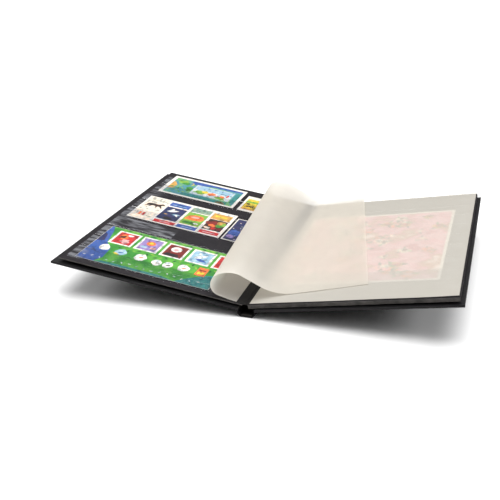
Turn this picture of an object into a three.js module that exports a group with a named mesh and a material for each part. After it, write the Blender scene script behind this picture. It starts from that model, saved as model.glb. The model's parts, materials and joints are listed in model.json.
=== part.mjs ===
// Stamp album: an open hardcover stockbook lying on its spine with both covers raised.
// Millimetres, +Z up, +Y along the spine away from the reader, origin under the middle
// of the spine where it rests on the table.
import * as THREE from 'three';

// ---- driving dimensions -------------------------------------------------
const coverHeight = 305;        // along the spine
const coverWidth = 220.5;       // from groove to fore-edge
const skin = 0.3;               // leatherette
const board = 1.7;              // greyboard
const glueGap = 0.05;           // between bonded layers
const frontAngle = 7.9;         // covers above the table, degrees
const backAngle = 9.4;
const frontFoot = [-9, 7.3];    // underside of each cover at its groove, (x, z)
const backFoot = [9, 7.0];
const spineHalf = 6.5;          // spine strip half width

const leafHeight = 298;
const leafStart = 3;            // bound edge, measured out from the gutter line
const frontLeafEnd = 219;
const backLeafEnd = 226.5;      // the block of leaves on the right sits further out
const card = 0.45;              // black card leaf
const leafPitch = 0.75;
const glassine = 0.06;
const frontPageAngle = 8.3;
const backPageAngle = 9.9;
const frontLeaves = 2;
const backLeaves = 6;
const blockFoot = 8.25;         // underside of the right-hand leaves at the gutter line
// meeting line of the two open pages, (x, z)
const gutter = [-2, blockFoot + (backLeaves - 1) * leafPitch + card];
const frontLinenEnd = 10;       // edge of the linen strip on each open page
const backLinenEnd = 4.6;
const linen = 0.2;

const stripCount = 9;           // clear pockets on a page
const stripPitch = 30.8;
const stripHeight = 28.4;
const stripStart = -141.4;      // foot of the lowest pocket
const stripInner = 13;
const stripMargin = 5;          // from a pocket's end to the leaf's outer edge
const film = 0.06;
const filmLift = 0.38;          // top of an empty pocket above the card
const fullLift = 0.78;          // top of a pocket that holds a sheet
const footWidth = 1.2;

const paper = 0.12;             // stamps and sheets
const sheetLift = 0.52;         // underside of a sheet above the card
const coverSheetLift = 0.95;    // the flat interleaf over the right page

// sheets held in the pockets: page side, pocket number, height, inner and outer edge
const sheets = [
  ['sheet_landscape', 'front', 7, 64, 97.5, 206.5],
  ['stamp_single', 'front', 7, 52, 55, 91.5],
  ['strip_of_four', 'front', 4, 73, 82, 206],
  ['sheet_night', 'front', 4, 66, 44, 79],
  ['sheet_garden', 'front', 0, 88, 46, 205],
  ['sheet_rose', 'back', 1, 200, 15, 202.5],
];

// raised interleaf: rolled about a line that leans away from the spine direction
const rollLean = 5.4;           // degrees
const raisedWidth = 211;
const raisedGlue = 10.4;        // glued edge, out from the gutter
const raisedSheet = 0.4;        // thicker than the real glassine
const raisedLift = 1.1;         // above the card at the glued edge
// runs of the roll: [arc length, direction above horizontal at its end]
const rollStart = 18.4;         // flat run beside the glued edge
const rollRuns = [[28, 161.7], [26.3, 19.6], [28.2, -32.1], [21.8, -32.1], [37.8, 9.9]];

// ---- helpers ------------------------------------------------------------
const rad = (d) => (d * Math.PI) / 180;
const group = new THREE.Group();
group.name = 'stamp_album';

const looks = {
  leatherette: [0x0e0e0f, 0.55], greyboard: [0x6d675d, 0.9], pastedown: [0x141414, 0.8],
  card: [0x1b191b, 0.85], linen: [0x101010, 0.9], film: [0xb9bcc4, 0.15],
  glassine: [0xd8d3c8, 0.5], paper: [0xe9e4da, 0.7],
};
const materials = {};
for (const [name, [color, roughness]] of Object.entries(looks)) {
  materials[name] = new THREE.MeshStandardMaterial({ name, color, roughness });
}
materials.film.transparent = true;
materials.film.opacity = 0.35;

function addMesh(name, geometry, look) {
  const mesh = new THREE.Mesh(geometry, materials[look]);
  mesh.name = name;
  group.add(mesh);
}

// a page or cover plane: its line in the x-z plane, side -1 to the left and +1 to the right
function plane(origin, angle, side) {
  const c = Math.cos(rad(angle));
  const s = Math.sin(rad(angle));
  return (out, up) => [origin[0] + side * (out * c - up * s), origin[1] + out * s + up * c];
}
const flat = (x, z) => [x, z];

// closed solid from a counted ring of stations, each a ring of points
function loft(rings) {
  const n = rings[0].length;
  const points = rings.flat();
  const index = [];
  for (let r = 0; r < rings.length - 1; r += 1) {
    for (let i = 0; i < n; i += 1) {
      const a = r * n + i;
      const b = r * n + ((i + 1) % n);
      index.push(a, b, b + n, a, b + n, a + n);
    }
  }
  return { points, index, n, count: rings.length };
}

function closeEnds(solid, triangles) {
  const last = (solid.count - 1) * solid.n;
  for (const [a, b, c] of triangles) {
    solid.index.push(a, c, b, last + a, last + b, last + c);
  }
  return facedOut(solid.points, solid.index);
}

// turns the faces outward when the solid came out inside out
function facedOut(points, index) {
  let volume = 0;
  for (let i = 0; i < index.length; i += 3) {
    const [a, b, c] = [0, 1, 2].map((k) => new THREE.Vector3(...points[index[i + k]]));
    volume += a.dot(b.cross(c));
  }
  if (volume < 0) {
    for (let i = 0; i < index.length; i += 3) {
      [index[i + 1], index[i + 2]] = [index[i + 2], index[i + 1]];
    }
  }
  const geometry = new THREE.BufferGeometry();
  geometry.setAttribute('position', new THREE.Float32BufferAttribute(points.flat(), 3));
  geometry.setIndex(index);
  geometry.computeVertexNormals();
  return geometry;
}

// triangles over an outline, wound the way the outline runs
function capTriangles(outline) {
  const points = outline.map(([a, b]) => new THREE.Vector2(a, b));
  const triangles = THREE.ShapeUtils.triangulateShape(points, []);
  const backward = THREE.ShapeUtils.area(points) < 0;
  return triangles.map(([a, b, c]) => (backward ? [a, c, b] : [a, b, c]));
}

// outline given across the page (out, up), carried along the spine direction
function alongSpine(place, outline, y0, y1) {
  const rings = [y0, y1].map((y) => outline.map(([out, up]) => {
    const [x, z] = place(out, up);
    return [x, y, z];
  }));
  return closeEnds(loft(rings), capTriangles(outline));
}

// outline given along the spine (y, up), carried across the page
function acrossPage(place, outline, out0, out1) {
  const rings = [out0, out1].map((out) => outline.map(([y, up]) => {
    const [x, z] = place(out, up);
    return [x, y, z];
  }));
  return closeEnds(loft(rings), capTriangles(outline));
}

const slab = (a0, a1, b0, b1) => [[a0, b0], [a1, b0], [a1, b1], [a0, b1]];

// ---- spine ----------------------------------------------------------------
const halfCover = coverHeight / 2;
const halfLeaf = leafHeight / 2;
const spineBoardTop = skin + glueGap + board - 0.5;
addMesh('spine_skin', alongSpine(flat, slab(-spineHalf, spineHalf, 0, skin),
  -halfCover, halfCover), 'leatherette');
addMesh('spine_board', alongSpine(flat,
  slab(-spineHalf + 0.6, spineHalf - 0.6, skin + glueGap, spineBoardTop),
  -halfCover + 1, halfCover - 1), 'greyboard');
addMesh('spine_lining', alongSpine(flat,
  slab(-spineHalf + 0.9, spineHalf - 0.9, spineBoardTop + glueGap, spineBoardTop + 0.3),
  -halfLeaf, halfLeaf), 'linen');

// groove cloth: the bare leatherette between the spine strip and a cover
function grooveCloth(name, side, foot) {
  const x0 = side * (spineHalf + 0.1);
  const x1 = foot[0] + side * 0.3;
  const outline = [
    [x0, 0], [x1 + side * 0.9, foot[1] * 0.55], [x1, foot[1] - 0.4],
    [x1 - side * 0.35, foot[1] - 0.4], [x1 + side * 0.45, foot[1] * 0.55], [x0, skin + 0.15],
  ];
  addMesh(name, alongSpine(flat, outline, -halfCover, halfCover), 'leatherette');
}
grooveCloth('front_groove_cloth', -1, frontFoot);
grooveCloth('back_groove_cloth', 1, backFoot);

// ---- covers ---------------------------------------------------------------
function cover(prefix, side, foot, angle) {
  const place = plane(foot, angle, side);
  const top = skin + 2 * glueGap + board;
  const turnIn = 14;            // leatherette folded over the inside of the board
  const skinOutline = [
    [0, 0], [coverWidth, 0], [coverWidth, top + skin], [coverWidth - turnIn, top + skin],
    [coverWidth - turnIn, top], [coverWidth - skin - glueGap, top],
    [coverWidth - skin - glueGap, skin], [0, skin],
  ];
  addMesh(`${prefix}_skin`, alongSpine(place, skinOutline, -halfCover, halfCover),
    'leatherette');
  addMesh(`${prefix}_board`, alongSpine(place,
    slab(0.4, coverWidth - skin - 2 * glueGap, skin + glueGap, skin + glueGap + board - 0.02),
    -halfCover + skin, halfCover - skin), 'greyboard');
  addMesh(`${prefix}_pastedown`, alongSpine(place,
    slab(1.5, coverWidth - turnIn - 0.3, top + 0.03, top + 0.03 + 0.2),
    -halfCover + 3, halfCover - 3), 'pastedown');
}
cover('front_cover', -1, frontFoot, frontAngle);
cover('back_cover', 1, backFoot, backAngle);

// ---- leaves ---------------------------------------------------------------
const frontPage = plane(gutter, frontPageAngle, -1);
const backPage = plane(gutter, backPageAngle, 1);
const interleafDrop = (leafPitch - card) / 2 + card + glassine / 2;

function leafStack(place, first, count, topFirst, leafEnd) {
  for (let i = 0; i < count; i += 1) {
    const number = topFirst ? first + i : first - i;
    const top = -i * leafPitch;
    addMesh(`leaf_${number}`, alongSpine(place, slab(leafStart, leafEnd, top - card, top),
      -halfLeaf, halfLeaf), 'card');
    if (i < count - 1) {
      const low = top - interleafDrop;
      const under = topFirst ? number + 1 : number;
      addMesh(`interleaf_over_${under}`, alongSpine(place,
        slab(leafStart + 2, leafEnd - 1, low, low + glassine), -halfLeaf + 1, halfLeaf - 1),
      'glassine');
    }
  }
}
leafStack(frontPage, frontLeaves, frontLeaves, false, frontLeafEnd);
leafStack(backPage, frontLeaves + 1, backLeaves, true, backLeafEnd);

addMesh('front_gutter_linen', alongSpine(frontPage,
  slab(0.3, frontLinenEnd, glueGap, glueGap + linen), -halfLeaf + 0.5, halfLeaf - 0.5), 'linen');
addMesh('back_gutter_linen', alongSpine(backPage,
  slab(0.3, backLinenEnd, glueGap, glueGap + linen), -halfLeaf + 0.5, halfLeaf - 0.5), 'linen');

// ---- clear pockets ----------------------------------------------------------
function pocketOutline(foot, lift) {
  const low = glueGap;
  const rise = foot + footWidth + 0.6;
  const lip = foot + stripHeight;
  return [
    [foot, low], [foot + footWidth, low], [rise, lift - film], [lip, lift - film],
    [lip, lift], [rise - 0.1, lift], [foot + footWidth - 0.1, low + film],
    [foot, low + film],
  ];
}
for (const [side, place, leafEnd] of [['front', frontPage, frontLeafEnd],
  ['back', backPage, backLeafEnd]]) {
  for (let i = 0; i < stripCount; i += 1) {
    const full = sheets.some(([, on, pocket]) => on === side && pocket === i);
    addMesh(`${side}_pocket_${i + 1}`, acrossPage(place,
      pocketOutline(stripStart + i * stripPitch, full ? fullLift : filmLift),
      stripInner, leafEnd - stripMargin), 'film');
  }
}

// ---- stamps and sheets -------------------------------------------------------
// the foot of a sheet stands in its pocket, the rest lies over the pockets above
for (const [name, side, pocket, height, inner, outer] of sheets) {
  const foot = stripStart + pocket * stripPitch + footWidth + 1;
  addMesh(name, acrossPage(side === 'front' ? frontPage : backPage,
    slab(foot, foot + height, sheetLift, sheetLift + paper), inner, outer), 'paper');
}

// ---- interleaves over the open pages -------------------------------------------
addMesh('flat_interleaf', alongSpine(backPage,
  slab(backLinenEnd + 0.4, backLeafEnd - 1, coverSheetLift, coverSheetLift + glassine),
  -halfLeaf + 1, halfLeaf - 1), 'glassine');

// centre line of the roll: x, z and direction at an arc length from the gutter
function rollCurve() {
  const flatAngle = 180 - frontPageAngle;
  const start = frontPage(0, raisedLift);
  let [x, z] = start;
  let angle = flatAngle;
  const curve = [[x, z, angle]];
  for (const [length, end] of [[rollStart, angle], ...rollRuns, [raisedWidth, backPageAngle]]) {
    const steps = Math.round(length);
    const step = length / steps;
    const turn = (end - angle) / steps;
    for (let i = 0; i < steps; i += 1) {
      x += step * Math.cos(rad(angle + turn / 2));
      z += step * Math.sin(rad(angle + turn / 2));
      angle += turn;
      curve.push([x, z, angle]);
    }
  }
  return (arc) => {
    if (arc < 0) {
      const a = rad(flatAngle);
      return [start[0] + arc * Math.cos(a), start[1] + arc * Math.sin(a), flatAngle];
    }
    const i = Math.min(Math.floor(arc), curve.length - 2);
    return curve[i].map((v, k) => v + (arc - i) * (curve[i + 1][k] - v));
  };
}

function raisedInterleaf() {
  const curve = rollCurve();
  const lean = rad(rollLean);
  const bendStart = rollStart + rollRuns[0][0];
  const bendEnd = bendStart + rollRuns[1][0] + rollRuns[2][0];
  const across = 60;
  const along = 12;
  const faces = [-raisedSheet / 2, raisedSheet / 2].map((offset) => {
    const rows = [];
    for (let j = 0; j <= along; j += 1) {
      const v = -halfLeaf + 1 + (j * (leafHeight - 2)) / along;
      const row = [];
      for (let i = 0; i <= across; i += 1) {
        const u = raisedGlue + (i * raisedWidth) / across;
        const arc = u * Math.cos(lean) - v * Math.sin(lean);
        const down = u * Math.sin(lean) + v * Math.cos(lean);
        const [cx, cz, angle] = curve(arc);
        const px = cx - offset * Math.sin(rad(angle));
        const pz = cz + offset * Math.cos(rad(angle));
        const fromGutter = px - gutter[0];
        const x = gutter[0] + fromGutter * Math.cos(lean) - down * Math.sin(lean);
        const y = fromGutter * Math.sin(lean) + down * Math.cos(lean);
        // the sheet follows the slope of the page it lies over
        const t = THREE.MathUtils.smoothstep(arc, bendStart, bendEnd);
        const slope = THREE.MathUtils.lerp(
          -Math.tan(rad(frontPageAngle)), Math.tan(rad(backPageAngle)), t,
        );
        row.push([x, y, pz + (x - px) * slope]);
      }
      rows.push(row);
    }
    return rows;
  });
  const rings = faces[0].map((row, j) => [...row, ...faces[1][j].slice().reverse()]);
  const n = across + 1;
  const triangles = [];
  for (let i = 0; i < across; i += 1) {
    const [a, b, c, d] = [i, i + 1, 2 * n - 2 - i, 2 * n - 1 - i];
    triangles.push([a, b, c], [a, c, d]);
  }
  return closeEnds(loft(rings), triangles);
}
addMesh('raised_interleaf', raisedInterleaf(), 'glassine');

export default group;
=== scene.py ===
import json
import math
import random

import bpy
import numpy as np
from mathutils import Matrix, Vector


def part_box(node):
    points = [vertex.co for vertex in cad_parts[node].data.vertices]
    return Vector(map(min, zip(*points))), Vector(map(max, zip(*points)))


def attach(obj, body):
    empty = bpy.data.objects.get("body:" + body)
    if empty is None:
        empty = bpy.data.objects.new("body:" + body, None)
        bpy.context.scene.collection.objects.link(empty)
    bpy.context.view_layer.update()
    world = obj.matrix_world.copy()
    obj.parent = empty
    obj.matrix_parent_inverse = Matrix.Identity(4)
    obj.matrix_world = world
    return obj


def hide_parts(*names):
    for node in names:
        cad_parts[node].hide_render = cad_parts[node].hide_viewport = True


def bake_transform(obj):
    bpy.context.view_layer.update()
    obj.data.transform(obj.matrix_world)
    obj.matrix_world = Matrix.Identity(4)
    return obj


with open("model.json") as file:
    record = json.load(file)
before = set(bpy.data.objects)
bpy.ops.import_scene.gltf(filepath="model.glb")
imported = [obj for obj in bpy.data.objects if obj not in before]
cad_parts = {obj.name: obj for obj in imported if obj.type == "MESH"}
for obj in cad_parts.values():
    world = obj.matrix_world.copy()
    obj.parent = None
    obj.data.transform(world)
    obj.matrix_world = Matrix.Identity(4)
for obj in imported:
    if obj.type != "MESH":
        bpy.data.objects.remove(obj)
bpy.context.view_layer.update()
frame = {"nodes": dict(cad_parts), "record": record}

nodes = frame["nodes"]
MM = 0.001


# ---- materials ------------------------------------------------------------
def new_material(name):
    mat = bpy.data.materials.new(name)
    mat.use_nodes = True
    tree = mat.node_tree
    tree.nodes.clear()
    out = tree.nodes.new("ShaderNodeOutputMaterial")
    return mat, tree, out


def add(tree, kind, **values):
    node = tree.nodes.new(kind)
    for key, value in values.items():
        if key in node.inputs:
            node.inputs[key].default_value = value
        else:
            setattr(node, key, value)
    return node


def coords(tree, scale=1.0, stretch=(1, 1, 1)):
    place = tree.nodes.new("ShaderNodeTexCoord")
    mapping = tree.nodes.new("ShaderNodeMapping")
    mapping.inputs["Scale"].default_value = [scale * s for s in stretch]
    tree.links.new(place.outputs["Object"], mapping.inputs["Vector"])
    return mapping.outputs["Vector"]


def noise(tree, scale, detail=3.0, stretch=(1, 1, 1)):
    node = add(tree, "ShaderNodeTexNoise", Scale=scale, Detail=detail)
    tree.links.new(coords(tree, 1.0, stretch), node.inputs["Vector"])
    return node.outputs["Fac"]


def ramp(tree, fac, stops):
    node = tree.nodes.new("ShaderNodeValToRGB")
    elements = node.color_ramp.elements
    while len(elements) < len(stops):
        elements.new(0.5)
    for element, (at, color) in zip(elements, stops):
        element.position = at
        element.color = (*color, 1)
    tree.links.new(fac, node.inputs["Fac"])
    return node.outputs["Color"]


def bump(tree, height, strength, distance):
    node = add(tree, "ShaderNodeBump", Strength=strength, Distance=distance)
    tree.links.new(height, node.inputs["Height"])
    return node.outputs["Normal"]


def principled(tree, rough, specular):
    shader = add(tree, "ShaderNodeBsdfPrincipled", Roughness=rough)
    shader.inputs["Specular IOR Level"].default_value = specular
    return shader


def combine(tree, operation, first, second):
    node = add(tree, "ShaderNodeMath", operation=operation)
    tree.links.new(first, node.inputs[0])
    tree.links.new(second, node.inputs[1])
    return node.outputs[0]


def size_of(tree, value):
    node = add(tree, "ShaderNodeMath", operation="ABSOLUTE")
    tree.links.new(value, node.inputs[0])
    return node.outputs[0]


def axes(tree, vector):
    split = tree.nodes.new("ShaderNodeSeparateXYZ")
    tree.links.new(vector, split.inputs[0])
    return split.outputs


def mix_shaders(tree, share, first, second):
    node = add(tree, "ShaderNodeMixShader")
    tree.links.new(share, node.inputs[0])
    tree.links.new(first, node.inputs[1])
    tree.links.new(second, node.inputs[2])
    return node.outputs[0]


def lin(r, g, b):
    return tuple((v / 255 / 12.92) if v <= 10 else ((v / 255 + 0.055) / 1.055) ** 2.4
                 for v in (r, g, b))


def shade(color, k):
    return tuple(min(1.0, c * k) for c in color)


def surface(name, color, rough, specular=0.5, vary=0.15, grain=400, bumpy=0.2, deep=0.0002,
            stretch=(1, 1, 1)):
    """A plain matt or satin surface with mottled colour and a fine grain."""
    mat, tree, out = new_material(name)
    shader = principled(tree, rough, specular)
    stops = [(0.3, shade(color, 1 - vary)), (0.7, shade(color, 1 + vary))]
    tree.links.new(ramp(tree, noise(tree, grain / 4, 4.0, stretch), stops),
                   shader.inputs["Base Color"])
    tree.links.new(bump(tree, noise(tree, grain, 2.0, stretch), bumpy, deep),
                   shader.inputs["Normal"])
    tree.links.new(shader.outputs[0], out.inputs["Surface"])
    return mat


def leatherette():
    mat, tree, out = new_material("leatherette")
    shader = principled(tree, 0.5, 0.16)
    cells = add(tree, "ShaderNodeTexVoronoi", Scale=1100.0)
    tree.links.new(coords(tree), cells.inputs["Vector"])
    tree.links.new(ramp(tree, noise(tree, 300), [(0.3, (0.006, 0.006, 0.007)),
                                                 (0.7, (0.013, 0.012, 0.013))]),
                   shader.inputs["Base Color"])
    tree.links.new(bump(tree, cells.outputs["Distance"], 0.5, 0.0003),
                   shader.inputs["Normal"])
    tree.links.new(shader.outputs[0], out.inputs["Surface"])
    return mat


def linen():
    mat, tree, out = new_material("linen")
    shader = principled(tree, 0.85, 0.15)
    across = add(tree, "ShaderNodeTexWave", Scale=300.0)
    along = add(tree, "ShaderNodeTexWave", Scale=300.0, bands_direction="Y")
    weave = add(tree, "ShaderNodeMath", operation="MAXIMUM")
    for i, wave in enumerate((across, along)):
        tree.links.new(coords(tree), wave.inputs["Vector"])
        tree.links.new(wave.outputs["Fac"], weave.inputs[i])
    tree.links.new(ramp(tree, weave.outputs[0], [(0.2, (0.004, 0.004, 0.004)),
                                                 (0.9, (0.014, 0.013, 0.013))]),
                   shader.inputs["Base Color"])
    tree.links.new(bump(tree, weave.outputs[0], 0.4, 0.0002), shader.inputs["Normal"])
    tree.links.new(shader.outputs[0], out.inputs["Surface"])
    return mat


def card_stock():
    """Black card, with a painted highlight in lighter grey on its cut head and tail edges."""
    mat, tree, out = new_material("card")
    shader = principled(tree, 0.75, 0.15)
    face = ramp(tree, noise(tree, 170, 4.0), [(0.3, (0.013, 0.011, 0.013)),
                                              (0.7, (0.020, 0.017, 0.020))])
    # painted highlight: this lighter grey is given only to the faces at the head and tail
    edge = ramp(tree, noise(tree, 90, 4.0), [(0.3, (0.07, 0.066, 0.062)),
                                             (0.7, (0.16, 0.15, 0.14))])
    facing = tree.nodes.new("ShaderNodeNewGeometry")
    along = size_of(tree, axes(tree, facing.outputs["True Normal"])["Y"])
    mix = add(tree, "ShaderNodeMix", data_type="RGBA")
    tree.links.new(along, mix.inputs["Factor"])
    tree.links.new(face, mix.inputs[6])
    tree.links.new(edge, mix.inputs[7])
    tree.links.new(mix.outputs[2], shader.inputs["Base Color"])
    tree.links.new(bump(tree, noise(tree, 700, 2.0), 0.3, 0.0002), shader.inputs["Normal"])
    tree.links.new(shader.outputs[0], out.inputs["Surface"])
    return mat


# film, in metres: where a painted reflection is streaked over its outer ends, and over the one
# pocket that has come up off the card between the strip of four and the garden sheet
REFLECTION_START, REFLECTION_FULL, REFLECTION_END = 0.194, 0.206, 0.216
RAISED_POCKET = (("X", -REFLECTION_END, -0.132), ("Y", -0.0465, -0.0215))


def clear_film():
    """Clear film: see-through, with a soft sheen that grows at low angles, and a painted
    reflection in grey streaks.
    """
    mat, tree, out = new_material("clear_film")
    through = add(tree, "ShaderNodeBsdfTransparent")
    through.inputs["Color"].default_value = (0.97, 0.97, 0.98, 1)
    sheen = add(tree, "ShaderNodeBsdfGlossy", Roughness=0.13)
    facing = add(tree, "ShaderNodeFresnel", IOR=1.45)
    haze = add(tree, "ShaderNodeMapRange")
    haze.inputs["To Min"].default_value = 0.08
    haze.inputs["To Max"].default_value = 0.30
    tree.links.new(noise(tree, 18, 2.0, (1, 3, 1)), haze.inputs["Value"])
    dull = combine(tree, "MULTIPLY", facing.outputs[0], haze.outputs[0])
    normal = bump(tree, noise(tree, 40, 2.0, (1, 2.5, 1)), 0.35, 0.001)
    tree.links.new(normal, sheen.inputs["Normal"])
    mix = mix_shaders(tree, dull, through.outputs[0], sheen.outputs[0])
    # painted reflection in grey streaks, at the outer ends and in the raised pocket only
    painted_reflection = add(tree, "ShaderNodeBsdfDiffuse", Color=(0.42, 0.43, 0.46, 1))
    place = axes(tree, coords(tree))
    reflection_at_ends = ramp(tree, size_of(tree, place["X"]),
                [(0.0, (0.0, 0.0, 0.0)), (REFLECTION_START, (0.0, 0.0, 0.0)),
                 (REFLECTION_FULL, (1.0, 1.0, 1.0)), (REFLECTION_END, (0.8, 0.8, 0.8))])
    inside = []
    for axis, low, high in RAISED_POCKET:
        for operation, edge in (("GREATER_THAN", low), ("LESS_THAN", high)):
            test = add(tree, "ShaderNodeMath", operation=operation)
            tree.links.new(place[axis], test.inputs[0])
            test.inputs[1].default_value = edge
            inside.append(test.outputs[0])
    while len(inside) > 1:
        inside.append(combine(tree, "MULTIPLY", inside.pop(), inside.pop()))
    reflection_mask = combine(tree, "MAXIMUM", reflection_at_ends, inside[0])
    reflection_streaks = ramp(tree, noise(tree, 26, 3.0, (1.5, 6, 1)),
                   [(0.42, (0.01, 0.01, 0.01)), (0.62, (0.24, 0.24, 0.24))])
    # the painted reflection is mixed over the film here
    film_with_reflection = mix_shaders(tree, combine(tree, "MULTIPLY", reflection_mask, reflection_streaks), mix, painted_reflection.outputs[0])
    tree.links.new(film_with_reflection, out.inputs["Surface"])
    return mat


# heights and places in metres between which the raised sheet grows clearer
HEAD_EDGE, HEAD_INSIDE = 0.145, 0.115
CLEAR_ABOVE, CLEAR_BELOW = 0.030, 0.016


def ease(tree, value, start, end, most=1.0):
    """A smooth step from nothing at start to most at end."""
    node = add(tree, "ShaderNodeMapRange", interpolation_type="SMOOTHSTEP")
    tree.links.new(value, node.inputs["Value"])
    node.inputs["From Min"].default_value = start
    node.inputs["From Max"].default_value = end
    node.inputs["To Max"].default_value = most
    return node.outputs[0]


def glassine(name, clear, glow=0.3, color=(0.60, 0.575, 0.53), lying=None):
    """Waxed tissue: milky, partly see-through, lit through from behind."""
    mat, tree, out = new_material(name)
    body = principled(tree, 0.45, 0.25)
    fibres = noise(tree, 60, 4.0)
    tint = ramp(tree, fibres, [(0.3, shade(color, 0.975)), (0.7, shade(color, 1.02))])
    tree.links.new(tint, body.inputs["Base Color"])
    tree.links.new(bump(tree, noise(tree, 14, 2.0), 0.12, 0.002), body.inputs["Normal"])
    behind = add(tree, "ShaderNodeBsdfTranslucent")
    tree.links.new(tint, behind.inputs["Color"])
    milky = add(tree, "ShaderNodeMixShader")
    milky.inputs[0].default_value = glow
    tree.links.new(body.outputs[0], milky.inputs[1])
    tree.links.new(behind.outputs[0], milky.inputs[2])
    through = add(tree, "ShaderNodeBsdfTransparent")
    amount = add(tree, "ShaderNodeMapRange")
    amount.inputs["To Min"].default_value = clear * 0.85
    amount.inputs["To Max"].default_value = clear * 1.15
    tree.links.new(fibres, amount.inputs["Value"])
    mix = add(tree, "ShaderNodeMixShader")
    share = amount.outputs[0]
    if lying:
        # clearer on the right, where the sheet lies on the page
        place = axes(tree, coords(tree))
        more = ease(tree, place["X"], lying[0], lying[1], lying[2] - clear)
        # but not where it stands out past the head of the page
        head = ease(tree, place["Y"], HEAD_EDGE, HEAD_INSIDE)
        # and a little clearer where it is close to the page
        low = ease(tree, place["Z"], CLEAR_ABOVE, CLEAR_BELOW, 0.16)
        share = combine(tree, "ADD", share, combine(tree, "MULTIPLY", more, head))
        share = combine(tree, "ADD", share, low)
    tree.links.new(share, mix.inputs[0])
    tree.links.new(milky.outputs[0], mix.inputs[1])
    tree.links.new(through.outputs[0], mix.inputs[2])
    tree.links.new(mix.outputs[0], out.inputs["Surface"])
    return mat


INK_ROUGHNESS, INK_SPECULAR, INK_DEPTH = 0.5, 0.3, 0.80
inks = {}


def ink(r, g, b):
    """Printing ink on stamp paper, one material for each colour used."""
    key = f"ink_{r}_{g}_{b}"
    if key not in inks:
        mat, tree, out = new_material(key)
        shader = principled(tree, INK_ROUGHNESS, INK_SPECULAR)
        color = shade(lin(r, g, b), INK_DEPTH)
        warm = (min(1, color[0] * 1.35 + 0.02), color[1], color[2] * 0.8)
        tree.links.new(ramp(tree, noise(tree, 230, 4.0, (1, 0.6, 1)),
                            [(0.38, shade(color, 0.5)), (0.45, color), (0.54, color),
                             (0.60, warm), (0.68, shade(color, 1.4))]),
                       shader.inputs["Base Color"])
        tree.links.new(shader.outputs[0], out.inputs["Surface"])
        inks[key] = mat
    return inks[key]


def scenery(name, stops, scale):
    """A printed scene that can only be made out as patches of colour."""
    mat, tree, out = new_material(name)
    shader = principled(tree, INK_ROUGHNESS, INK_SPECULAR)
    tree.links.new(ramp(tree, noise(tree, scale, 5.0),
                        [(at, shade(lin(*c), INK_DEPTH)) for at, c in stops]),
                   shader.inputs["Base Color"])
    tree.links.new(shader.outputs[0], out.inputs["Surface"])
    return mat


looks = {
    "leatherette": leatherette(),
    "greyboard": surface("greyboard", (0.05, 0.046, 0.04), 0.9, 0.2),
    "pastedown": surface("pastedown", (0.012, 0.012, 0.012), 0.7, 0.2),
    "card": card_stock(),
    "linen": linen(),
    "film": clear_film(),
    "glassine": glassine("glassine", 0.10, 0.25),
}
paper = surface("stamp_paper", lin(218, 214, 205), 0.7, 0.2, 0.03, 500, 0.15, 0.0001)
for part in frame["record"]["subparts"]:
    look = looks.get(part["material_slot"], paper)
    node = nodes[part["node"]]
    for i in range(len(node.data.materials)):
        node.data.materials[i] = look
    if not node.data.materials:
        node.data.materials.append(look)


# ---- page frames, read off the leaves --------------------------------------
class Page:
    """Places points on an open page: out from the gutter, along the spine, up, in mm."""

    start = 3.0                        # the leaf's bound edge, out from the gutter

    def __init__(self, node, side):
        mesh = nodes[node].data
        best = max((p for p in mesh.polygons if p.normal.z > 0.5), key=lambda p: p.area)
        level = best.normal.dot(mesh.vertices[best.vertices[0]].co)
        top = [v.co for v in mesh.vertices if abs(best.normal.dot(v.co) - level) < 2e-5]
        xs = sorted(top, key=lambda c: side * c.x)
        inner, outer = xs[0], xs[-1]
        run = Vector((outer.x - inner.x, 0, outer.z - inner.z))
        self.out = run.normalized()
        self.up = Vector((best.normal.x, 0, best.normal.z)).normalized()
        self.origin = Vector((inner.x, 0, inner.z)) - self.out * self.start * MM
        self.side = side
        self.angle = math.degrees(math.asin(self.out.z))

    def at(self, out, y, up=0.0):
        return self.origin + self.out * out * MM + Vector((0, y * MM, 0)) + self.up * up * MM


left = Page("leaf_2", -1)
right = Page("leaf_3", 1)


# ---- mesh helpers -----------------------------------------------------------
def mesh_piece(name, verts, faces, materials, body=None, face_mats=None, smooth=False):
    mesh = bpy.data.meshes.new(name)
    mesh.from_pydata([tuple(v) for v in verts], [], faces)
    for mat in materials:
        mesh.materials.append(mat)
    if face_mats:
        for poly, m in zip(mesh.polygons, face_mats):
            poly.material_index = m
    if smooth:
        mesh.polygons.foreach_set("use_smooth", [True] * len(mesh.polygons))
    mesh.update()
    obj = bpy.data.objects.new(name, mesh)
    bpy.context.scene.collection.objects.link(obj)
    if body:
        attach(obj, body)
    return obj


def grid_faces(rows, cols):
    return [(r * cols + c, r * cols + c + 1, (r + 1) * cols + c + 1, (r + 1) * cols + c)
            for r in range(rows - 1) for c in range(cols - 1)]


# ---- printed art: flat shapes in millimetres from the sheet's lower left corner -------
def rect(x0, y0, x1, y1):
    return [(x0, y0), (x1, y0), (x1, y1), (x0, y1)]


def disc(cx, cy, rx, ry=None, n=18):
    ry = ry or rx
    return [(cx + rx * math.cos(2 * math.pi * i / n), cy + ry * math.sin(2 * math.pi * i / n))
            for i in range(n)]


def blob(rng, cx, cy, rx, ry, n=11, rough=0.3):
    return [(cx + rx * k * math.cos(2 * math.pi * i / n),
             cy + ry * k * math.sin(2 * math.pi * i / n))
            for i in range(n) for k in [1 + rng.uniform(-rough, rough)]]


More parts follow.
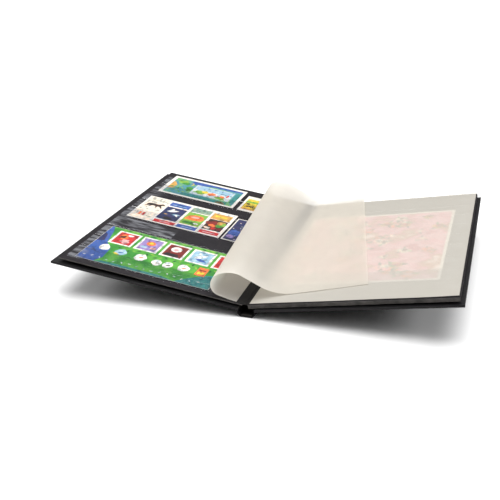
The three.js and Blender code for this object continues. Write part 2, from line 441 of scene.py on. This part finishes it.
def animal(cx, cy, size, flip=1):
    """A running four-legged animal as an outline."""
    shape = [(-1.0, 0.15), (-0.85, 0.42), (-0.5, 0.5), (0.25, 0.45), (0.5, 0.6), (0.68, 0.78),
             (0.95, 0.62), (1.05, 0.42), (0.8, 0.38), (0.68, 0.15), (0.85, -0.15),
             (1.0, -0.42), (0.86, -0.45), (0.62, -0.12), (0.35, -0.1), (0.3, -0.5), (0.17, -0.5),
             (0.12, -0.08), (-0.3, -0.05), (-0.5, -0.45), (-0.64, -0.42), (-0.55, -0.02),
             (-0.82, -0.3), (-0.98, -0.55), (-1.1, -0.48), (-0.9, -0.02), (-1.25, 0.2)]
    return [(cx + flip * x * size, cy + y * size) for x, y in shape]


def leaf_shape(cx, cy, size, angle):
    a = math.radians(angle)
    pts = [(-1, 0), (-0.4, 0.35), (0.3, 0.32), (1, 0), (0.3, -0.32), (-0.4, -0.35)]
    return [(cx + size * (x * math.cos(a) - y * math.sin(a)),
             cy + size * (x * math.sin(a) + y * math.cos(a))) for x, y in pts]


INK_LIFT, INK_LAYER = 0.008, 0.009      # above the paper, and between layers of ink, mm


def print_art(name, node, page, outer, inner, shapes):
    """shapes is a list of (layer, material, outline), lowest layer first."""
    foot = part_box(node)[0][1] / MM
    top = max((v.co - page.origin).dot(page.up) for v in nodes[node].data.vertices) / MM
    verts, faces, mats, used = [], [], [], []
    for layer, mat, outline in shapes:
        if mat not in used:
            used.append(mat)
        base = len(verts)
        for x, y in outline:
            out = outer - x if page.side < 0 else inner + x
            verts.append(page.at(out, foot + y, top + INK_LIFT + INK_LAYER * layer))
        faces.append(tuple(range(base, len(verts))))
        mats.append(used.index(mat))
    piece = mesh_piece(name, verts, faces, used, body_of(node), mats)
    # every shape faces up from the page
    for poly in piece.data.polygons:
        if poly.normal.dot(page.up) < 0:
            poly.flip()
    return piece


def body_of(node):
    for body, members in frame["record"]["behaviour"]["bodies"].items():
        if node in members:
            return body
    raise ValueError(node)


CREAM, WHITE = ink(238, 230, 214), ink(240, 240, 236)
NAVY, BLUE, SKY = ink(34, 46, 92), ink(52, 92, 168), ink(150, 190, 214)
RED, BRICK, ORANGE = ink(196, 44, 46), ink(120, 34, 30), ink(232, 120, 62)
OCHRE, YELLOW, BROWN = ink(204, 160, 82), ink(226, 202, 58), ink(58, 34, 24)
GREEN, LIME, DEEP = ink(58, 142, 52), ink(124, 178, 70), ink(22, 92, 44)
TEAL, SAGE, PALE = ink(44, 132, 130), ink(130, 160, 142), ink(196, 214, 220)
BLACK, LILAC, ROSE = ink(26, 24, 26), ink(150, 132, 190), ink(230, 170, 172)

rng = random.Random(7)

# landscape sheet: sky, leaves, hills and a pale inset scene
land = scenery("print_landscape", [(0.2, (78, 150, 120)), (0.4, (120, 178, 110)),
                                   (0.55, (70, 140, 160)), (0.75, (96, 160, 150))], 60)
W, H = 109.0, 64.0
shapes = [(0, land, rect(5, 4, W - 4, H - 5)),
          (1, BLUE, [(30, 46), (62, 52), (W - 4, 54), (W - 4, H - 5), (30, H - 5)]),
          (1, OCHRE, [(5, 18), (12, 20), (14, 34), (8, 44), (5, 44)]),
          (1, LIME, blob(rng, 18, 48, 9, 6)), (2, GREEN, blob(rng, 24, 44, 6, 4)),
          (1, GREEN, blob(rng, 34, 30, 5, 9)), (1, TEAL, rect(30, 4, 96, 13)),
          (1, TEAL, rect(98, 14, W - 4, 50)), (1, OCHRE, blob(rng, 88, 8, 8, 4)),
          (2, PALE, rect(39, 16, 96, 49)), (3, SKY, rect(41, 34, 94, 47)),
          (3, LIME, blob(rng, 52, 26, 9, 6)), (4, YELLOW, blob(rng, 58, 30, 5, 4)),
          (4, ORANGE, blob(rng, 68, 28, 5, 5)), (4, WHITE, blob(rng, 61, 23, 4, 3)),
          (3, LIME, blob(rng, 82, 21, 8, 4)), (4, ORANGE, blob(rng, 84, 27, 4, 4)),
          (4, RED, blob(rng, 90, 33, 1.6, 4)), (4, ROSE, blob(rng, 76, 26, 3, 3)),
          (2, YELLOW, [(29, 51), (33, 50), (35, 46), (33, 43), (31, 43), (33, 46), (32, 49)])]
for i in range(9):
    shapes.append((3, GREEN if i % 2 else LIME,
                   leaf_shape(9 + 5.2 * (i % 5), 14 + 9 * (i // 5) + 2 * (i % 3), 3.6, 40 * i)))
print_art("print_landscape_sheet", "sheet_landscape", left, 206.5, 97.5, shapes)

# strip of four: running animal, birds over water, hill, harvest still life
H = 73.0
shapes = []
for i in range(1, 4):
    shapes.append((0, SAGE, rect(31.2 * i - 0.15, 1.5, 31.2 * i + 0.15, H - 1.5)))
shapes += [(0, CREAM, rect(2, 2, 30, H - 2)),
           (1, BROWN, animal(17.5, 46, 11.5)),
           (2, BLACK, leaf_shape(12, 47, 5, 20)),
           (1, SAGE, rect(7, 62, 27, 63.2)),
           (1, ORANGE, rect(9, 12, 12.5, 21)), (1, RED, rect(14, 12, 17.5, 21)),
           (1, SAGE, rect(21, 11, 27, 13)), (1, ROSE, rect(7, 25, 24, 26))]
shapes += [(0, WHITE, rect(32, 2, 61, H - 2)), (1, BLUE, rect(33, 56, 60.5, 68)),
           (2, SKY, rect(37, 60, 56, 61.4)),
           (1, NAVY, rect(33, 14, 60.5, 53)),
           (2, WHITE, leaf_shape(45, 42, 8, 24)), (3, WHITE, leaf_shape(43, 44, 6, 80)),
           (2, SKY, leaf_shape(53, 33, 6, 10)), (3, WHITE, leaf_shape(54, 31, 4, -50)),
           (2, OCHRE, leaf_shape(40, 30, 3, 0)), (2, BLACK, blob(rng, 47, 19, 7, 4)),
           (1, RED, rect(34, 2.5, 62.5, 11)), (2, ROSE, rect(42, 5.5, 56, 8))]
shapes += [(0, WHITE, rect(63, 2, 92, H - 2)), (1, SAGE, rect(64, 54, 91, 68)),
           (1, LIME, rect(64, 15, 91, 52)),
           (2, ORANGE, [(65, 30), (68, 42), (76, 46), (86, 45), (90, 38), (88, 32), (78, 29)]),
           (3, ROSE, leaf_shape(78, 39, 7, 8)), (2, GREEN, blob(rng, 74, 21, 8, 4)),
           (3, WHITE, blob(rng, 85, 22, 3, 2.4)), (1, BLUE, rect(65, 2.5, 91.5, 12)),
           (2, SKY, rect(72, 6.3, 86, 7.6))]
shapes += [(0, WHITE, rect(94, 2, 122, H - 2)), (1, OCHRE, rect(94, 48, 120, 66)),
           (2, YELLOW, rect(98, 56, 114, 60)), (1, BROWN, rect(95, 15, 120, 47)),
           (2, BRICK, blob(rng, 103, 36, 8, 6)), (2, OCHRE, blob(rng, 113, 40, 6, 5)),
           (3, GREEN, blob(rng, 112, 31, 5, 4)), (3, ORANGE, blob(rng, 105, 28, 5, 4)),
           (3, CREAM, blob(rng, 100, 20, 4, 3)), (4, RED, blob(rng, 108, 21, 4, 3)),
           (3, LIME, blob(rng, 117, 36, 3, 5)), (4, BRICK, blob(rng, 116, 22, 3, 4)),
           (1, RED, rect(95, 3, 121, 12)), (2, ROSE, rect(100, 6, 116, 8.5))]
print_art("print_strip_of_four", "strip_of_four", left, 206.0, 82.0, shapes)

# single stamp: yellow field with a dark herd
shapes = [(0, YELLOW, rect(3, 6, 33.5, 43)), (1, OCHRE, rect(3, 6, 33.5, 11)),
          (1, LIME, rect(3, 30, 33.5, 36)),
          (2, BROWN, animal(13, 17, 6.5)), (2, BLACK, animal(25, 14, 6, -1)),
          (1, CREAM, rect(5, 44.5, 28, 47)), (2, BLACK, blob(rng, 8, 26, 3, 3))]
print_art("print_single_stamp", "stamp_single", left, 91.5, 55.0, shapes)

# night sheet: dark blue with pale flecks
shapes = [(0, NAVY, rect(1.5, 1.5, 33.5, 64.5)), (1, BLUE, blob(rng, 9, 24, 7, 9)),
          (2, LILAC, blob(rng, 8, 12, 5, 4)), (1, BLUE, blob(rng, 20, 44, 8, 8))]
shapes += [(3, WHITE, disc(rng.uniform(4, 31), rng.uniform(4, 60), 0.8, n=8)) for _ in range(14)]
print_art("print_night_sheet", "sheet_night", left, 79.0, 44.0, shapes)

# garden sheet: green ground, blue corner, a row of stamps and a row of snowy shapes
grass = scenery("print_garden", [(0.25, (20, 100, 40)), (0.45, (54, 146, 46)),
                                 (0.6, (96, 176, 60)), (0.78, (30, 112, 62))], 55)
W, H = 159.0, 88.0
shapes = [(0, grass, rect(0.3, 0.3, W - 0.3, H - 0.3)),
          (1, BLUE, [(0.3, 0.3), (22, 0.3), (27, 12), (25, 34), (14, 48), (8, 74), (3, H - 0.3),
                     (0.3, H - 0.3)]),
          (2, NAVY, [(0.3, 46), (9, 50), (5, 66), (0.3, 70)]),
          (1, TEAL, [(118, 0.3), (W - 0.3, 0.3), (W - 0.3, 34), (146, 28), (132, 16)]),
          (2, TEAL, [(22, 0.3), (118, 0.3), (100, 5), (30, 5)])]
for i in range(26):
    shapes.append((2, (LIME, DEEP, LIME)[i % 3],
                   leaf_shape(18 + 5.4 * i, 84.4 + 1.4 * math.sin(i), 3.4, 70 * (i % 4) - 60)))
for i in range(22):
    shapes.append((2, (DEEP, LIME)[i % 2],
                   leaf_shape(34 + 5.6 * i, 41.5 + 3 * math.sin(2.1 * i), 3.2, 50 * i)))
for i in range(16):
    shapes.append((3, PALE, leaf_shape(6 + 9.1 * i, 10 + 1.6 * math.sin(i * 1.3), 2.2, 60 * i)))
for i in range(5):
    x0 = 14.0 + 32.1 * i
    shapes.append((3, WHITE, rect(x0, 48, min(x0 + 28.5, W - 2), 81.5)))
for i, ground in enumerate((RED, LILAC, BRICK, SKY, RED)):
    x0 = 14.0 + 32.1 * i
    shapes.append((4, ground, rect(x0 + 2.6, 50.6, min(x0 + 25.9, W - 3), 79)))
shapes += [(5, ORANGE, blob(rng, 25, 68, 6, 6)), (6, BROWN, blob(rng, 24, 68, 3, 3.5)),
           (6, ROSE, blob(rng, 31, 58, 6, 5)), (5, WHITE, blob(rng, 30, 74, 4, 3)),
           (5, ORANGE, disc(60, 68, 5.5)), (6, YELLOW, disc(60, 69, 2.6)),
           (5, SKY, blob(rng, 55, 57, 5, 3)), (5, ROSE, blob(rng, 67, 58, 4, 3)),
           (5, WHITE, disc(92, 69, 6.5)), (6, ROSE, disc(92, 68, 3)),
           (5, BLACK, [(81.5, 51), (101, 51), (99, 58), (84, 58)]),
           (5, WHITE, leaf_shape(124, 66, 9, 40)), (5, BLUE, leaf_shape(127, 58, 8, -15)),
           (6, PALE, leaf_shape(122, 71, 6, -60)), (5, ORANGE, blob(rng, 152, 64, 3, 6))]
for cx, cy, r, eye in ((17.5, 35, 7.2, None), (39, 32, 7.8, BLUE), (64, 32, 7.8, ORANGE),
                       (85, 29.5, 6.8, BROWN), (98, 30, 6.8, BROWN), (116.5, 32, 7.6, ORANGE)):
    shapes.append((4, WHITE if eye is not BLUE else SKY, blob(rng, cx, cy, r * 0.9, r, 14, 0.12)))
    if eye is not None:
        shapes.append((5, eye, leaf_shape(cx + 1, cy - 0.5, 3.4, 25)))
        shapes.append((5, PALE, blob(rng, cx - 1, cy + 3.6, 2.4, 1.8)))
shapes += [(5, YELLOW, leaf_shape(36, 27, 5, -20)), (4, ORANGE, rect(132, 24, 144, 43)),
           (5, YELLOW, rect(134, 28, 142, 33)), (5, BRICK, rect(134, 36, 142, 38))]
print_art("print_garden_sheet", "sheet_garden", left, 205.0, 46.0, shapes)

# rose sheet: pale pink with loose flowers, seen through the interleaf
petals = scenery("print_rose", [(0.34, (216, 112, 134)), (0.45, (246, 190, 200)),
                                (0.54, (234, 150, 168)), (0.62, (206, 150, 120)),
                                (0.70, (250, 226, 220))], 34)
W, H = 187.5, 200.0
shapes = [(0, petals, rect(3.5, 4, W - 3.5, H - 4))]
for i in range(46):
    cx, cy = rng.uniform(14, W - 14), rng.uniform(14, H - 16)
    size = rng.uniform(5, 11)
    shapes.append((1, (ROSE, CREAM, ORANGE, OCHRE)[i % 4], blob(rng, cx, cy, size, size * 0.8)))
    shapes.append((2, (CREAM, BRICK, ROSE, RED)[i % 4],
                   blob(rng, cx + 1, cy + 1, size * 0.45, size * 0.4)))
    for k in range(3):
        shapes.append((3, (DEEP, BROWN, GREEN)[(i + k) % 3],
                       leaf_shape(cx + size * math.cos(2.2 * k + i),
                                  cy + size * math.sin(2.2 * k + i), size * 0.45,
                                  126 * k + 57 * i)))
print_art("print_rose_sheet", "sheet_rose", right, 202.5, 15.0, shapes)


# ---- leatherette folded over the head and tail of the covers and the spine ------------
def fold_over(name, body, foot, side, angle, width, thick, inside):
    """A strip round the end of a board: outer face, end, then back over the inner face."""
    c, sn = math.cos(math.radians(angle)), math.sin(math.radians(angle))
    for end in (-1, 1):
        path = [(152.3, -0.05), (152.62, -0.02), (152.8, 0.25), (152.86, thick / 2),
                (152.8, thick - 0.2), (152.5, thick + 0.05), (152.0, thick + 0.1)]
        path += [(152.0 - inside * k / 4, thick + 0.1) for k in range(1, 5)]
        cols = 24
        verts = []
        for y, up in path:
            for k in range(cols):
                out = width[0] + (width[1] - width[0]) * k / (cols - 1)
                verts.append(Vector((foot[0] + side * (out * c - up * sn), end * y,
                                     foot[1] + out * sn + up * c)) * MM)
        faces = grid_faces(len(path), cols)
        piece = mesh_piece(f"{name}_{'tail' if end < 0 else 'head'}", verts, faces,
                           [looks["leatherette"]], body, smooth=True)


COVER_RUN = (0.2, 220.5)
BOARD_THICK, COVER_TURN = 2.1, 2.6
fold_over("front_fold", "front_cover", (-9, 7.3), -1, 7.9, COVER_RUN, BOARD_THICK, COVER_TURN)
fold_over("back_fold", "back_cover", (9, 7.0), 1, 9.4, COVER_RUN, BOARD_THICK, COVER_TURN)
fold_over("spine_fold", "spine", (0, 0.06), 1, 0.0, (-6.4, 6.4), 1.5, 1.2)


# ---- raised interleaf: one sheet of glassine rolled over the gutter ----------------
LEAN = math.radians(5.4)
GLUE, WIDE, HALF = 10.4, 211.0, 148.0
LIFT = 1.0
FLAT_RUN = 18.4
RUNS = ((28, 161.7), (26.3, 19.6), (28.2, -32.1), (21.8, -32.1), (37.8, right.angle))
BEND_START = FLAT_RUN + RUNS[0][0]
BEND_END = BEND_START + RUNS[1][0] + RUNS[2][0]


def roll_curve():
    start = left.at(0, 0, LIFT) / MM
    flat = 180 - left.angle
    x, z, a = start.x, start.z, flat
    arcs, line = [0.0], [(x, z, a)]
    for length, end in ((FLAT_RUN, flat), *RUNS, (WIDE, right.angle)):
        steps = round(length) * 2
        step, turn = length / steps, (end - a) / steps
        for _ in range(steps):
            x += step * math.cos(math.radians(a + turn / 2))
            z += step * math.sin(math.radians(a + turn / 2))
            a += turn
            arcs.append(arcs[-1] + step)
            line.append((x, z, a))
    return np.array(arcs), np.array(line), (start.x, start.z, math.radians(flat))


ARCS, LINE, (START_X, START_Z, START_A) = roll_curve()


def rolled(arc, v):
    """The point of the sheet at this arc length of the roll and this height up the page."""
    u = (arc + v * math.sin(LEAN)) / math.cos(LEAN)
    down = u * math.sin(LEAN) + v * math.cos(LEAN)
    if arc < 0:
        px, pz = START_X + arc * math.cos(START_A), START_Z + arc * math.sin(START_A)
    else:
        px, pz = (float(np.interp(arc, ARCS, LINE[:, k])) for k in (0, 1))
    gx = left.origin.x / MM
    across = px - gx
    x = gx + across * math.cos(LEAN) - down * math.sin(LEAN)
    y = across * math.sin(LEAN) + down * math.cos(LEAN)
    t = min(max((arc - BEND_START) / (BEND_END - BEND_START), 0), 1)
    t = t * t * (3 - 2 * t)
    slope = -math.tan(math.radians(left.angle)) * (1 - t) + math.tan(math.radians(right.angle)) * t
    ripple = 0.5 * math.sin(v / 31 + arc / 44) * min(1, max(0, (arc - 60) / 60))
    return Vector((x, y, pz + (x - px) * slope + max(0, ripple))) * MM


def arc_of(u, v):
    return u * math.cos(LEAN) - v * math.sin(LEAN)


tissue = glassine("raised_glassine", 0.09, 0.56, (0.86, 0.82, 0.75), (0.05, 0.10, 0.34))
TAIL_EXTRA = 5.5                       # the sheet is this much wider at its tail, mm
CUTS = (None, 76.0, 94.0, 106.0, 136.0, None)
PAIRS = (("front_page", "front_leaf"), ("front_leaf", "spine"), ("spine", "back_leaves"),
         ("back_leaves", "top_leaf"), ("top_leaf", "raised_interleaf"))
ROWS = 75
for k, (body_a, body_b) in enumerate(PAIRS):
    verts = []
    cols = (56, 20, 10, 28, 80)[k]
    for r in range(ROWS):
        v = -HALF + 2 * HALF * r / (ROWS - 1)
        a0 = arc_of(GLUE, v) if k == 0 else CUTS[k]
        a1 = CUTS[k + 1]
        if k == len(PAIRS) - 1:
            a1 = arc_of(GLUE + WIDE + TAIL_EXTRA * (0.5 - 0.5 * v / HALF), v)
        verts += [rolled(a0 + (a1 - a0) * c / (cols - 1), v) for c in range(cols)]
    name = f"raised_sheet_{k + 1}"
    piece = mesh_piece(name, verts, grid_faces(ROWS, cols), [tissue], smooth=True)
    if k == 0:
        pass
    elif k == len(PAIRS) - 1:
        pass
    else:
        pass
    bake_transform(piece)
    if k == 0:
        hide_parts("raised_interleaf")


# ---- flat interleaf over the right page -----------------------------------------------
def flat_sheet():
    low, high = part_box("flat_interleaf")
    feet = [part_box(f"back_pocket_{i + 1}")[0][1] / MM for i in range(9)]
    rows, cols = 298, 70
    inner, outer = 5.0, 225.5
    base = max((v.co - right.origin).dot(right.up) for v in nodes["flat_interleaf"].data.vertices)
    base = base / MM + 0.02
    verts = []
    for r in range(rows):
        y = low[1] / MM + (high[1] - low[1]) / MM * r / (rows - 1)
        # the mouths and feet of the pockets beneath show as low ridges
        ridge = sum(0.22 * math.exp(-((y - foot - 29) / 1.1) ** 2) for foot in feet)
        ridge += sum(0.10 * math.exp(-((y - foot - 1) / 1.4) ** 2) for foot in feet)
        for c in range(cols):
            out = inner + (outer - inner) * c / (cols - 1)
            inside = min(1, max(0, (out - 16) / 6)) * min(1, max(0, (220 - out) / 3))
            edge = max(0.0, (out - 150) / 75)
            curl = 0.9 * edge * edge + 0.25 * math.sin(out / 37 + y / 60) ** 2
            verts.append(right.at(out, y, base + ridge * inside + curl))
    piece = mesh_piece("flat_interleaf_sheet", verts, grid_faces(rows, cols),
                       [glassine("flat_glassine", 0.33, 0.15, (0.675, 0.64, 0.57))],
                       "top_leaf", smooth=True)
    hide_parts("flat_interleaf")


flat_sheet()


# ---- floor, light, camera ------------------------------------------------------------------
def lay_floor(half=12.0, below=0.0002):
    mat, tree, out = new_material("floor")
    shader = add(tree, "ShaderNodeBsdfDiffuse", Roughness=0.0)
    tree.links.new(ramp(tree, noise(tree, 3, 2.0), [(0.3, (0.90, 0.90, 0.90)),
                                                    (0.7, (0.92, 0.92, 0.92))]),
                   shader.inputs["Color"])
    tree.links.new(shader.outputs[0], out.inputs["Surface"])
    corners = [(-half, -half, 0), (half, -half, 0), (half, half, 0), (-half, half, 0)]
    floor = mesh_piece("floor", corners, [(0, 1, 2, 3)], [mat])
    floor.location.z = -below


def mix_colors(tree, blend, first, second):
    node = add(tree, "ShaderNodeMix", data_type="RGBA", blend_type=blend)
    node.inputs["Factor"].default_value = 1.0
    tree.links.new(first, node.inputs[6])
    tree.links.new(second, node.inputs[7])
    return node.outputs[2]


def grey(value):
    return (value, value, value)


def light_studio(strength=4.7):
    """One soft light overhead and one on each side, with a white backdrop for the camera."""
    world = bpy.data.worlds.new("studio")
    world.use_nodes = True
    sky = world.node_tree
    light = sky.nodes["Background"]
    around = sky.nodes.new("ShaderNodeTexCoord").outputs["Generated"]
    place = axes(sky, around)
    key = add(sky, "ShaderNodeVectorMath", operation="DOT_PRODUCT")
    sky.links.new(around, key.inputs[0])
    key.inputs[1].default_value = (0.0, 0.26, 0.966)
    top = ramp(sky, key.outputs["Value"], [(0.0, grey(0.004)), (0.76, grey(0.015)),
                                           (0.90, grey(0.9)), (1.0, grey(1.0))])
    beside = ramp(sky, size_of(sky, place["X"]), [(0.66, grey(0.0)), (0.80, grey(1.0))])
    above = ramp(sky, place["Z"], [(0.30, grey(0.0)), (0.48, grey(1.0))])
    sides = mix_colors(sky, "MULTIPLY", beside, above)
    sky.links.new(mix_colors(sky, "ADD", top, sides), light.inputs["Color"])
    light.inputs["Strength"].default_value = strength
    # past the floor's edge the camera sees a plain pale backdrop
    backdrop = add(sky, "ShaderNodeBackground", Color=(1, 1, 1, 1), Strength=1.0)
    seen = sky.nodes.new("ShaderNodeLightPath")
    shown = mix_shaders(sky, seen.outputs["Is Camera Ray"], light.outputs[0],
                        backdrop.outputs[0])
    sky.links.new(shown, sky.nodes["World Output"].inputs["Surface"])
    bpy.context.scene.world = world


def place_camera(azimuth=14.09, elevation=25.01, distance=0.9046, target=(0.04225, 0, 0.0126)):
    scene = bpy.context.scene
    data = bpy.data.cameras.new("camera")
    camera = bpy.data.objects.new("camera", data)
    scene.collection.objects.link(camera)
    scene.camera = camera
    turn, tilt = math.radians(azimuth), math.radians(elevation)
    offset = Vector((math.sin(turn) * math.cos(tilt), -math.cos(turn) * math.cos(tilt),
                     math.sin(tilt)))
    camera.location = Vector(target) + offset * distance
    camera.rotation_euler = (-offset).to_track_quat("-Z", "Y").to_euler()
    data.sensor_width = 36
    data.lens = 53.1
    data.shift_x, data.shift_y = -0.139, 0.004
    scene.view_settings.view_transform = "Standard"


lay_floor()
light_studio()
place_camera()
